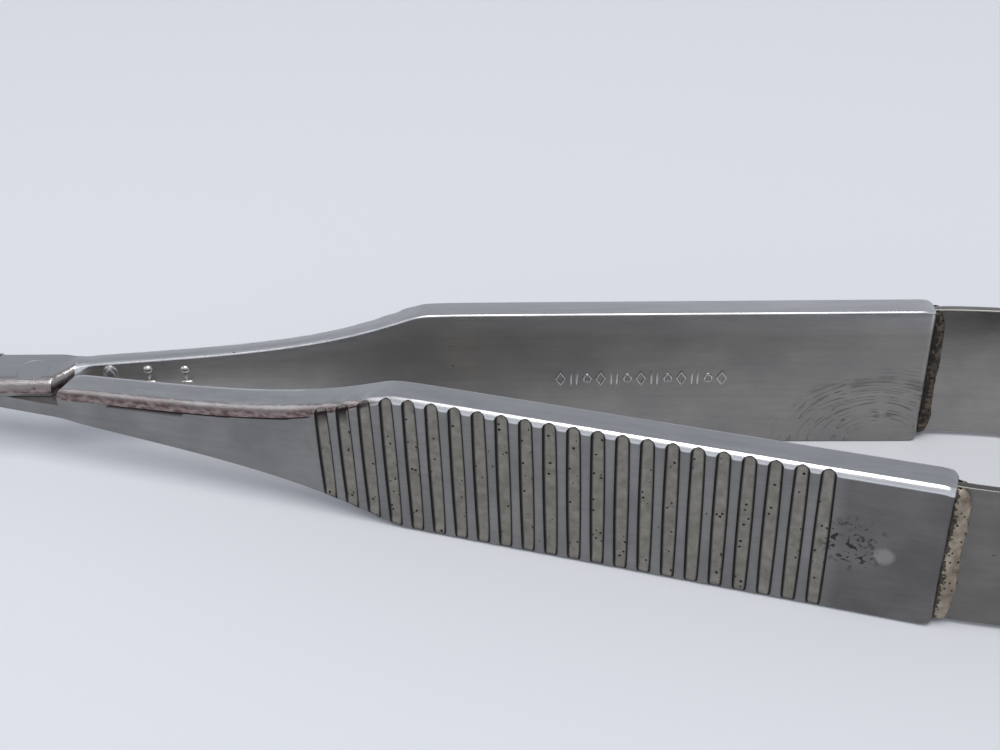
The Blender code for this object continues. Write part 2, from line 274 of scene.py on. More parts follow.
def groove_swell(along, up_share):
    """How far the metal beside a groove stands aside: a sine over the pitch, none at the groove's
    middle and the rib's, most at half height. Over the rounded edges it closes in to an arch."""
    turn = 2 * math.pi * (along - GROOVE_FIRST) / GROOVE_PITCH
    last = GROOVE_FIRST + GROOVE_PITCH * (GROOVE_COUNT - 0.5)
    ribbed = (along > GROOVE_FIRST - GROOVE_PITCH / 2) * (along < last)
    high = np.abs(up_share)
    arch = ease((high - GROOVE_ARCH[0]) / (GROOVE_ARCH[1] - GROOVE_ARCH[0]))
    size = GROOVE_SWELL * np.clip(1 - high**2, 0, 1) - GROOVE_NARROWING * arch
    return size * np.sin(turn) * ribbed


def swell_at(along, across, up):
    """The swell at a point: all of it on the outer half of the lever, none on the inner half."""
    inner = inner_side(along)
    outside = ease((across - inner) / (outer_side(along) - inner) * 4 - 2)
    return groove_swell(along, up / half_height(along)) * outside


def groove_depth(along, up, polished):
    """Depth of the grooves at a height. They run out just short of the edge the tool lies on."""
    ribbed = (along > RIBBED[0]) * (along < RIBBED[1])
    start, end = GROOVE_RUN_OUT_BAND
    share = ease((np.abs(up) - half_height(along) + start) / (start - end))
    return groove_cut(along) * ribbed * (1 - (0 if polished else GROOVE_RUN_OUT) * share)


def nose_inset(along):
    """How far the faces draw in round the lever's end: a quarter circle."""
    past = np.clip(along - (LEVER_REACH - NOSE_RADIUS), 0, NOSE_RADIUS)
    return NOSE_RADIUS - np.sqrt(NOSE_RADIUS**2 - past**2)


def jaw_face(along):
    """The biting face: a line through the pivot that lies on the middle plane when shut."""
    return -along * math.tan(CLOSED_ANGLE) - JAW_GAP


def jaw_share(along):
    """How far along the jaw a place is: nothing at the hub's front, one at the tip."""
    return np.clip((-along - HUB_FRONT_RADIUS) / (JAW_LENGTH - HUB_FRONT_RADIUS), 0, 1)


def inner_side(along):
    """Side towards the other grip: the jaw's back, the hub's flank, its slant, the flat grip."""
    share = jaw_share(along)
    root = HUB_INNER + jaw_face(-HUB_FRONT_RADIUS)
    jaw = jaw_face(along) - (root + (JAW_TIP_WIDTH - root) * share**0.8)
    slant = -HUB_INNER * (HUB_REAR_END - along) / (HUB_REAR_END - HUB_REAR_START)
    handle = np.where(along < HUB_REAR_END, slant, nose_inset(along))
    hub = np.where(along < HUB_REAR_START, -HUB_INNER, handle)
    return np.where(along < -HUB_FRONT_RADIUS, jaw, hub)


def outer_side(along):
    """Side under the fingers: the biting face, the hub's round front, then the thicker grip."""
    arc = np.sqrt(np.clip(HUB_FRONT_RADIUS**2 - along**2, 0, None))
    front = np.maximum(jaw_face(along), arc)
    swell = ease(along / FLARE)
    handle = HUB_OUTER + (LEVER_THICKNESS - HUB_OUTER) * swell - nose_inset(along)
    hub = np.where(along < HUB_FRONT, front, handle)
    return np.where(along <= -HUB_FRONT_RADIUS, jaw_face(along), hub)


def smooth_below(value, width):
    """The value where it is positive, nothing where it is negative, with a soft bend between."""
    return (value + np.sqrt(value**2 + width**2)) / 2


def half_height(along):
    """Half the height: jaw taper, level hub, a neck that rises ever faster, then the level grip."""
    share = jaw_share(along)
    jaw = HUB_HALF_HEIGHT + (JAW_TIP_HALF_HEIGHT - HUB_HALF_HEIGHT) * share
    part = np.clip((along - NECK_START) / (FLARE - NECK_START), -0.2, 1.3)
    neck = NECK_LOW + NECK_SLOPE * part + NECK_FLARE * part**4
    step = ease((along - HUB_REAR_START) / HUB_RISE)
    neck = HUB_HALF_HEIGHT + (neck - HUB_HALF_HEIGHT) * step
    past = np.clip((along - (LEVER_REACH - END_CORNER)) / END_CORNER, 0, 1)
    grip = LEVER_HEIGHT / 2 - END_CORNER_DROP * (1 - np.sqrt(1 - past**2))
    grip = grip - smooth_below(grip - neck, NECK_SOFTENING)
    grip = np.where(along > HUB_REAR_START, grip, HUB_HALF_HEIGHT)
    return np.where(along < -HUB_FRONT_RADIUS, jaw, grip)


def edge_sizes(along, polished):
    """Sizes of the two edges of a flank: the inner bevel, the drop of the slope, the outer rounding
    and the step up to it. On the polished flank the hub and the neck have a much rounder edge."""
    width = outer_side(along) - inner_side(along)
    handle = ease((along - HUB_REAR_START) / 2.0)
    hub = ease((HUB_EDGE_END - along) / HUB_EDGE_FADE)
    neck = ease((NECK_END - along) / NECK_FADE)
    bevel = np.minimum(BEVEL + HUB_EXTRA_BEVEL[polished] * hub, 0.3 * width)
    rounding = (ROUNDING[polished] + NECK_EXTRA_ROUNDING[polished] * neck) * handle
    rounding = np.minimum(rounding + HUB_ROUNDING * (1 - handle), 0.4 * width)
    neck_drop = NECK_EDGE_DROP * (1 if polished else 0.4)
    drop = (GRIP_EDGE_DROP + (neck_drop - GRIP_EDGE_DROP) * neck) * handle
    step = EDGE_STEP * handle * ease((EDGE_STEP_END - along) / 3) * polished
    return bevel, drop, rounding, step


def top_height(along, across, polished):
    """Height of the flank: a level land, a growing slope, a step, then a rounded edge that is a
    quarter circle on the neck and flatter, nearly a bevel, on the grip."""
    inner = inner_side(along)
    outer = outer_side(along)
    bevel, drop, rounding, step = edge_sizes(along, polished)
    land_end = inner + bevel + np.minimum(LAND, 0.3 * (outer - inner))
    slope = drop * np.clip((across - land_end) / (outer - land_end), 0, 1) ** 1.5
    over = np.clip((across - (outer - rounding)) / rounding, 0, 1)
    rounder = ease((NECK_END - along) / NECK_FADE)
    power = FLATTEST_EDGE_POWER + (2 - FLATTEST_EDGE_POWER) * rounder
    fall = rounding * (1 - np.clip(1 - over**power, 0, 1) ** (1 / power))
    inwards = outer - rounding + EDGE_STEP_HALF_WIDTH - across
    sunk = step * ease(inwards / EDGE_STEP_HALF_WIDTH / 2)
    return half_height(along) - slope - fall - sunk


def lever_stations():
    """Places of the sections: a few per millimetre, and close together where a groove turns."""
    arc = HUB_FRONT_RADIUS * np.cos(np.radians(np.array((0, 5, 10, 15, 20, 25, 30, 34))))
    tip = -JAW_LENGTH + np.array((0, 0.03, 0.1, 0.25))
    jaw = np.concatenate((tip, np.arange(-13.4, -2.9, 0.4)))
    hub = (HUB_FRONT, -1.6, -0.8, 0, 0.5, 1.0, 1.24, HUB_REAR_START)
    hub += (1.36, 1.5, 1.75, 2.0, 2.2, 2.34)
    neck = np.concatenate(((HUB_REAR_END, 2.46), np.arange(2.6, 18.2, 0.24)))
    shares = np.array((0, 0.2, 0.38, 0.55, 0.7, 0.82, 0.9, 0.955, 0.99, 1.02, 1.15, 1.4))
    shares = np.unique(np.concatenate((-shares, shares)))
    centres = GROOVE_FIRST + GROOVE_PITCH * np.arange(GROOVE_COUNT)
    grooves = (centres[:, None] + shares[None, :] * GROOVE_HALF_WIDTH).ravel()
    plain = np.arange(centres[-1] + 0.6, LEVER_REACH - END_CORNER, 0.3)
    end = LEVER_REACH - END_CORNER * (1 - np.sin(np.radians(np.arange(0, 90, 6))))
    places = np.concatenate((jaw, -arc, hub, neck, grooves, plain, end, (LEVER_REACH - 0.002,)))
    return np.unique(np.round(places, 4))


def flank(along, polished):
    """Half a ring: up the inner face, round its bevel, over the top and down the outer face.
    Where a groove has cut the outer face back, the top's points close up towards the inner side."""
    inner = inner_side(along)
    outer = outer_side(along)
    high = half_height(along)
    bevel, _, rounding, _ = edge_sizes(along, polished)
    face = outer - groove_depth(along, high, polished)
    rise = np.linspace(0, 1, 4)[None, :]
    inner_face = (inner + 0 * rise, (high - bevel) * rise)
    angle = np.radians(np.arange(11.25, 91, 11.25))[None, :]
    inner_edge = (inner + bevel * (1 - np.cos(angle)), high - bevel * (1 - np.sin(angle)))
    start = inner + bevel
    edge = outer - rounding
    level = start + (edge - start) * np.array((0.15, 0.3, 0.45, 0.6, 0.75, 0.88, 0.95))[None, :]
    beside = edge + EDGE_STEP_HALF_WIDTH * np.array((-1, -1 / 3, 1 / 3, 1))[None, :]
    turn = np.radians(np.arange(8, 90, 6.8))[None, :]
    over = edge + rounding * np.sin(turn)
    flat = np.concatenate((level, beside, over, outer + 0 * start), axis=1)
    flat = start + (flat - start) * (face - start) / (outer - start)
    top = top_height(along, flat, polished)
    fall = np.array((0.002, 0.02, 0.045, 0.07, 0.1, 0.13, 0.4, 0.7, 1.0))[None, :]
    sunk = LEDGE * polished * ease((along - LEDGE_START) / 3) * ease((LEDGE_END - along) / 0.25)
    below = top[:, -1:] * (1 - fall)
    outer_face = (outer - groove_depth(along, below, polished) - sunk, below)
    across = np.concatenate((inner_face[0], inner_edge[0], flat, outer_face[0]), axis=1)
    up = np.concatenate((inner_face[1], inner_edge[1], top, outer_face[1]), axis=1)
    return across, up


def lever_sections(polished_up):
    """One closed ring of points per station: the upper flank, then the lower one back again."""
    along = lever_stations()[:, None]
    across, up = flank(along, polished_up)
    under, down = flank(along, not polished_up)
    across = np.concatenate((across, under[:, -2:0:-1]), axis=1)
    up = np.concatenate((up, -down[:, -2:0:-1]), axis=1)
    return np.stack((along + swell_at(along, across, up), across, up), axis=2)


def make_outward(mesh):
    """Turns a closed mesh's faces outwards where its signed volume comes out negative."""
    mesh.calc_loop_triangles()
    places = np.empty(len(mesh.vertices) * 3)
    mesh.vertices.foreach_get("co", places)
    places = places.reshape(-1, 3)
    corners = np.empty(len(mesh.loop_triangles) * 3, dtype=np.int32)
    mesh.loop_triangles.foreach_get("vertices", corners)
    a, b, c = (places[corners.reshape(-1, 3)[:, k]] for k in range(3))
    if np.einsum("ij,ij->i", a, np.cross(b, c)).sum() < 0:
        mesh.flip_normals()


def join_rings(name, parts):
    """One mesh from parts, each of rings of points (ring, point, xyz in millimetres). A closed part
    joins its last ring to its first, an open one gets an end face at each end. Faces outwards."""
    points = []
    faces = []
    base = 0
    for rings, closed in parts:
        count, around, _ = rings.shape
        ring = np.arange(count if closed else count - 1)[:, None] * around
        above = (ring + around) % (count * around)
        point = np.arange(around)[None, :]
        after = (point + 1) % around
        quads = np.stack((ring + point, ring + after, above + after, above + point), axis=2)
        faces.extend((quads.reshape(-1, 4) + base).tolist())
        if not closed:
            faces.append(list(range(base, base + around))[::-1])
            faces.append(list(range(base + (count - 1) * around, base + count * around)))
        points.append(rings.reshape(-1, 3))
        base += count * around
    mesh = bpy.data.meshes.new(name)
    mesh.from_pydata((np.concatenate(points) * MM).tolist(), [], faces)
    mesh.validate()
    make_outward(mesh)
    return mesh


def tube_mesh(name, rings):
    """A mesh of one open part."""
    return join_rings(name, [(rings, False)])


def finish_piece(name, mesh, body, replaced, material):
    """Links a mesh as a piece with its sharp edges, material, body and replaced nodes."""
    mesh.set_sharp_from_angle(angle=SHARP_ANGLE)
    piece = add_object(name, mesh)
    piece.data.materials.clear()
    piece.data.materials.append(material)
    if body:
        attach(piece, body)
    if replaced:
        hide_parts(*replaced)
    return piece


def disc_rings(profile, steps):
    """Turns (radius, height) rows about Z into rings of equal point counts."""
    angle = np.linspace(0, 2 * math.pi, steps, endpoint=False)
    radius = np.array([row[0] for row in profile])[:, None]
    height = np.array([row[1] for row in profile])[:, None]
    return np.stack((radius * np.cos(angle), radius * np.sin(angle), height + 0 * angle), axis=2)


def lap_recess():
    """The milled recess: a disc about the pivot, from below the hub to the lap plane."""
    profile = ((SHOULDER_RADIUS, -3), (SHOULDER_RADIUS, LAP_GAP / 2))
    return tube_mesh("lap_recess", disc_rings(profile, SHOULDER_STEPS))


def rivet_hole():
    """The rivet's hole through the hub, opening to its countersunk mouth at the top."""
    neck = HUB_HALF_HEIGHT - RIVET_HEAD_DEPTH
    shank = RIVET_RADIUS + RIVET_PLAY
    mouth = RIVET_HEAD_RADIUS + RIVET_PLAY
    profile = [(shank, -3), (shank, neck), (mouth, HUB_HALF_HEIGHT), (mouth, 2)]
    return tube_mesh("rivet_hole", disc_rings(profile, RIVET_STEPS))


def cut_forging(blank, cutters):
    """Takes the cutters' shapes out of the blank and returns the mesh that is left."""
    work = add_object("blank", blank)
    tools = [work]
    for cutter in cutters:
        tool = add_object(cutter.name, cutter)
        tools.append(tool)
        modifier = work.modifiers.new(cutter.name, "BOOLEAN")
        modifier.operation = "DIFFERENCE"
        modifier.solver = "EXACT"
        modifier.object = tool
    bpy.context.view_layer.update()
    graph = bpy.context.evaluated_depsgraph_get()
    left = bpy.data.meshes.new_from_object(work.evaluated_get(graph))
    for tool in tools:
        bpy.data.objects.remove(tool, do_unlink=True)
    return left


def slot_cutter():
    """The saw slot in the lever's end that the leaf spring stands in."""
    middle = LEVER_THICKNESS / 2
    corners = np.array(SQUARE)
    x = LEVER_REACH + SLOT_DEPTH * corners[:, 0]
    y = middle + SLOT_HALF_WIDTH * corners[:, 1]
    low = np.stack((x, y, np.full(4, -SLOT_HALF_HEIGHT)), axis=1)
    high = np.stack((x, y, np.full(4, SLOT_HALF_HEIGHT)), axis=1)
    return tube_mesh("slot", np.stack((low, high)))


def forging_mesh(polished_up):
    """The lever's blank with its lap recess, rivet hole and slot, in its own place along X."""
    blank = tube_mesh("blank", lever_sections(polished_up))
    return cut_forging(blank, (lap_recess(), rivet_hole(), slot_cutter()))


def paint_zones(mesh, polished_up):
    """Stores where the top strips, the rounded outer edge, the grooves, the inner face and the
    painted shadow lines are.
    """
    places = np.empty(len(mesh.vertices) * 3)
    mesh.vertices.foreach_get("co", places)
    swollen, across, up = places.reshape(-1, 3).T / MM
    along = swollen
    for _ in range(SWELL_ROUNDS):
        outer = outer_side(along)
        inner = inner_side(along)
        along = swollen - swell_at(along, across, up)
    polished = (up > 0) == polished_up
    held = np.clip(across, inner, outer)
    shiny, plain = (edge_sizes(along, True), edge_sizes(along, False))
    rounding = np.where(polished, shiny[2], plain[2])
    bevel = np.where(polished, shiny[0], plain[0])
    top = np.where(polished, top_height(along, held, True), top_height(along, held, False))
    edge_z = half_height(along) - np.where(polished, shiny[1], plain[1]) - rounding
    on_top = (np.abs(np.abs(up) - top) < TOP_SKIN) & (across > inner + bevel * 0.9)
    depth = groove_depth(along, up, True)
    cut = np.where(polished, depth, groove_depth(along, up, False))
    in_groove = np.abs(across - (outer - cut)) < SKIN
    rounded = on_top & (across >= outer - rounding + SKIN / 2)
    high = half_height(along)
    inner_edge = (across < inner + bevel) & (np.abs(up) > high - bevel - SKIN / 2) & ~on_top
    hub_low = np.clip((high - np.abs(up)) / bevel - 0.3, 0, 1) * (along < HUB_REAR_END)
    on_outer = across > inner + OUTER_SHARE * (outer - inner)
    low_band = np.clip((across - outer + rounding) / rounding, 0, 1) ** 2 * rounded
    # The band just under the rounded edge, where a shadow line is painted.
    shade_below_edge = (np.abs(edge_z - np.abs(up)) < SEAM_SHADOW_WIDTH) & (across < outer - LEDGE / 2)
    # The arched top end of a groove, painted dark as its shadow, fades in towards the top.
    shade_below_top = np.clip(1 - (top - np.abs(up)) / ARCH_SHADOW_WIDTH, 0, 1)
    tarnished = on_outer | (along < HUB_REAR_END)
    zones = {
        "strip": on_top & ~rounded,
        "rounded": rounded | inner_edge,
        "groove": in_groove * np.clip(depth / GROOVE_DEPTH, 0, 1),
        "arch": in_groove * (depth > ARCH_SHADOW_LEAST_DEPTH) * shade_below_top,
        "inside": (across < inner + 0.05) & (along > HUB_REAR_END - 0.2),
        "neck": ease((TARNISH_END - along) / TARNISH_FADE) * polished * tarnished,
        "low_band": np.where(on_outer, low_band, hub_low),
        "foot": ~polished,
        "seam_shadow": shade_below_edge * polished * on_outer * (along > HUB_REAR_END),
    }
    for name, values in zones.items():
        store = mesh.attributes.new(name, "FLOAT", "POINT")
        store.data.foreach_set("value", np.asarray(values, dtype=np.float32))


def place_lever(mesh, side):
    """Puts a lever's mesh on the pivot at its open angle. The near one is turned over about X."""
    mesh.transform(FROM_PIVOT @ TURNED_OVER[side] @ SWUNG_OPEN)
    mesh.name = f"{side}_forging"
    return mesh


def reckon(tree, operation, *values):
    """A Math node on numbers or sockets, and its output."""
    return add_node(tree, "ShaderNodeMath", dict(enumerate(values)), operation=operation).outputs[0]


def times(tree, first, second):
    """The product of two numbers or sockets."""
    return reckon(tree, "MULTIPLY", first, second)


def vector(tree, operation, *values):
    """A Vector Math node on vectors or sockets, and its output."""
    node = add_node(tree, "ShaderNodeVectorMath", dict(enumerate(values)), operation=operation)
    return node.outputs["Value" if operation == "LENGTH" else "Vector"]


def noise(tree, place, scale, detail=2.0, distortion=0.0):
    """The value of a noise laid out by a place."""
    inputs = {"Vector": place, "Scale": scale, "Detail": detail, "Distortion": distortion}
    return add_node(tree, "ShaderNodeTexNoise", inputs).outputs["Fac"]


def stretch(tree, place, scale, turn=(0, 0, 0)):
    """A place scaled along its axes after a turn."""
    inputs = {"Vector": place, "Rotation": turn, "Scale": scale}
    return add_node(tree, "ShaderNodeMapping", inputs).outputs["Vector"]


def axis(tree, place, name):
    """One coordinate of a place."""
    return add_node(tree, "ShaderNodeSeparateXYZ", {0: place}).outputs[name]


def mix(tree, share, first, second, blend="MIX"):
    """Mixes two colours by a share and returns the colour socket."""
    colours = [(*given, 1) if isinstance(given, tuple) else given for given in (first, second)]
    inputs = {0: share, 6: colours[0], 7: colours[1]}
    return add_node(tree, "ShaderNodeMix", inputs, data_type="RGBA", blend_type=blend).outputs[2]


def shade_by(tree, colour, streaks, depth):
    """Lightens and darkens a colour by streaks, by half the depth either way."""
    shade = reckon(tree, "MULTIPLY_ADD", streaks, depth, 1 - depth / 2)
    grey = add_node(tree, "ShaderNodeCombineColor", {0: shade, 1: shade, 2: shade}).outputs[0]
    return mix(tree, 1.0, colour, grey, "MULTIPLY")


def add_bump(tree, shader, height, strength, distance):
    """Tilts the shader's normal by a height, with the distance in metres."""
    inputs = {"Height": height, "Strength": strength, "Distance": distance}
    bump = add_node(tree, "ShaderNodeBump", inputs)
    tree.links.new(bump.outputs["Normal"], shader.inputs["Normal"])


def new_group(name, inputs, output):
    """Starts a shader node group with named sockets. Returns it, its inputs and its end node."""
    group = bpy.data.node_groups.new(name, "ShaderNodeTree")
    for label, default in inputs.items():
        kind = "NodeSocketVector" if default is None else "NodeSocketFloat"
        socket = group.interface.new_socket(name=label, in_out="INPUT", socket_type=kind)
        if default is not None:
            socket.default_value = default
    group.interface.new_socket(name=output, in_out="OUTPUT", socket_type="NodeSocketFloat")
    return group, group.nodes.new("NodeGroupInput").outputs, group.nodes.new("NodeGroupOutput")


def use_group(tree, group, **inputs):
    """Places a node group in a material, feeds its inputs by name and returns its output."""
    return add_node(tree, "ShaderNodeGroup", inputs, node_tree=group).outputs[0]


def zone(tree, name):
    """Reads one of the stored zones."""
    return add_node(tree, "ShaderNodeAttribute", {}, attribute_name=name).outputs["Fac"]


def build_grind_group():
    """Grinding marks: noise drawn out along X, fine and coarse, averaged."""
    group, given, result = new_group("grinding_marks", {"Place": None, "Fineness": 14.0}, "Streaks")
    drawn = stretch(group, given["Place"], (0.07, 1, 1))
    fine = noise(group, drawn, given["Fineness"], 3.0)
    both = reckon(group, "ADD", fine, noise(group, drawn, 3.1))
    group.links.new(times(group, both, 0.5), result.inputs["Streaks"])
    return group


def build_pit_group():
    """Pits: small dots at Voronoi cell centres, kept only where a broad noise is high."""
    inputs = {"Place": None, "Scale": 2.0, "Size": 0.12, "Cover": 0.5}
    group, given, result = new_group("pits", inputs, "Mask")
    place = given["Place"]
    cells = add_node(group, "ShaderNodeTexVoronoi", {"Vector": place, "Scale": given["Scale"]})
    ragged = reckon(group, "MULTIPLY_ADD", noise(group, place, 6.0), 0.3, cells.outputs["Distance"])
    near = reckon(group, "LESS_THAN", reckon(group, "SUBTRACT", ragged, 0.15), given["Size"])
    kept = reckon(group, "GREATER_THAN", noise(group, place, 0.55), given["Cover"])
    group.links.new(times(group, near, kept), result.inputs["Mask"])
    return group


def build_spot_group():
    """A soft round spot on a face: one inside a radius from a centre, fading to nothing outside.
    Only the distance along the lever and up its face counts."""
    group, given, result = new_group("spot", {"Place": None, "Centre": None, "Radius": 1.0}, "Mask")
    away = vector(group, "SUBTRACT", given["Place"], given["Centre"])
    length = vector(group, "LENGTH", vector(group, "MULTIPLY", away, (1, 0, 1)))
    share = reckon(group, "DIVIDE", length, given["Radius"])
    group.links.new(ramp(group, share, 0.6, 1.0, 1.0, 0.0), result.inputs["Mask"])
    return group


def build_swirl_group():
    """Curved rub marks: thin bands of a noise laid out by distance from a centre, so that they
    run round it, kept inside a ring between two radii and broken by a broad noise."""
    group, given, result = new_group("swirl_marks", {"Place": None, "Centre": None}, "Mask")
    away = vector(group, "SUBTRACT", given["Place"], given["Centre"])
    flat = vector(group, "MULTIPLY", away, (1, 0, 1.25))
    length = vector(group, "LENGTH", flat)
    outwards = add_node(group, "ShaderNodeCombineXYZ", {0: times(group, length, 1.7)}).outputs[0]
    laid = vector(group, "ADD", vector(group, "NORMALIZE", flat), outwards)
    offset = reckon(group, "ABSOLUTE", reckon(group, "SUBTRACT", noise(group, laid, 1.5, 1.0), 0.5))
    kept = ramp(group, offset, 0.012, 0.04, 1.0, 0.0)
    kept = times(group, kept, ramp(group, length, 1.6, 2.6))
    kept = times(group, kept, ramp(group, length, 5.0, 7.2, 1.0, 0.0))
    gaps = ramp(group, noise(group, given["Place"], 1.1), 0.42, 0.56)
    group.links.new(times(group, kept, gaps), result.inputs["Mask"])
    return group


GRIND = build_grind_group()
PITS = build_pit_group()
SPOT = build_spot_group()
SWIRL = build_swirl_group()
SMUDGE_CENTRE = (46.75, 0.0, 0.1)
SMUDGE_RADIUS = 1.9
PALE_SPOT_CENTRE = (48.2, 0.0, -0.35)
PALE_SPOT_RADIUS = 0.62
SWIRL_CENTRE = (49.0, 0.0, -4.6)
PLAIN_END = (45.2, 46.2)
PAINTED_LIGHT_REACH = (8.0, 42.0)
INNER_LIT_HEIGHT = (-4.0, 4.5)
FLOOR_DEPTH_SHARE = 0.64
# Painted shade: the broad faces are darker than the strips, the plain end darker still.
FACE_SHADED = ((0.205, 0.202, 0.203), (0.265, 0.261, 0.258))
END_FACE_SHADED = ((0.135, 0.13, 0.13), (0.185, 0.18, 0.18))
# Painted light: the inner face is lighter than the outer faces, more so towards the joint and
# upwards.
INNER_FACE_PAINTED_LIGHT = ((0.47, 0.462, 0.448), (0.345, 0.338, 0.328))
INNER_LIT = ((0.88, 0.88, 0.88), (1.3, 1.29, 1.28))
INNER_CLOUDY = ((0.86, 0.86, 0.87), (1.02, 1.0, 0.965))
# Painted light: the strips are lighter than the faces as lit tops, the far strip lighter still
# towards its end.
STRIP_LIT = (0.44, 0.45, 0.47)
STRIP_MORE_LIT = (0.58, 0.585, 0.6)
STRIP_LIT_BY_SIDE = {"near": (STRIP_LIT, STRIP_LIT), "far": (STRIP_LIT, STRIP_MORE_LIT)}
# Partly polish, partly painted highlight: the top flank's rounded edges near white, a tarnished
# grey on the neck.
ROUNDED_EDGE_HIGHLIGHT = ((0.74, 0.74, 0.76), (0.5, 0.49, 0.49))
RUST = ((0.13, 0.09, 0.085), (0.31, 0.245, 0.24))
EARTH = ((0.15, 0.14, 0.118), (0.37, 0.355, 0.32))
# Painted shadow: near black for the grooves' walls and their arched top ends.
GROOVE_WALL_SHADOW = (0.03, 0.029, 0.026)
# Painted shadow: the dark line under the step below the neck's rounded edge.
SEAM_SHADOW = (0.03, 0.02, 0.02)
PIT = (0.03, 0.027, 0.022)
SMUDGE = (0.045, 0.042, 0.04)
PALE_SPOT = (0.5, 0.49, 0.47)
RUB_MARK = (0.12, 0.115, 0.11)


def start_steel(name, turn):
    """A metal material with its place in millimetres from the pivot, turned along the piece."""
    material = bpy.data.materials.new(name)
    material.use_nodes = True
    tree = material.node_tree
    shader = tree.nodes["Principled BSDF"]
    shader.inputs["Metallic"].default_value = 1.0
    where = add_node(tree, "ShaderNodeTexCoord", {}).outputs["Object"]
    centred = vector(tree, "SUBTRACT", where, PIVOT.tolist())
    place = stretch(tree, centred, (1 / MM,) * 3, (0, 0, turn))
    return material, tree, shader, place


def face_colour(tree, place, stain, side):
    """The broad faces and the ground strips, cloudy. Painted shade: the faces are dark, darker
    still on the plain end under the fingers. Painted light: the strips are lighter as lit tops, the
    far one more so towards its end, and the inner face is lighter upwards and towards the joint."""
    along = axis(tree, place, "X")
    reach = ramp(tree, along, *PAINTED_LIGHT_REACH)
    # Painted shade: the broad faces are dark, the plain end darker still.
    face = mix(tree, stain, *FACE_SHADED)
    face = mix(tree, ramp(tree, along, *PLAIN_END), face, mix(tree, stain, *END_FACE_SHADED))
    # Painted light: the inner face is lighter than the outer faces, more towards the joint and
    # upwards.
    inner = mix(tree, reach, *INNER_FACE_PAINTED_LIGHT)
    lit = mix(tree, ramp(tree, axis(tree, place, "Z"), *INNER_LIT_HEIGHT), *INNER_LIT)
    inner = mix(tree, 1.0, inner, lit, "MULTIPLY")
    inner = mix(tree, 1.0, inner, mix(tree, stain, *INNER_CLOUDY), "MULTIPLY")
    face = mix(tree, zone(tree, "inside"), face, inner)
    # Painted light: the strips are lighter as lit tops, the far one more so towards its end.
    return mix(tree, zone(tree, "strip"), face, mix(tree, reach, *STRIP_LIT_BY_SIDE[side]))


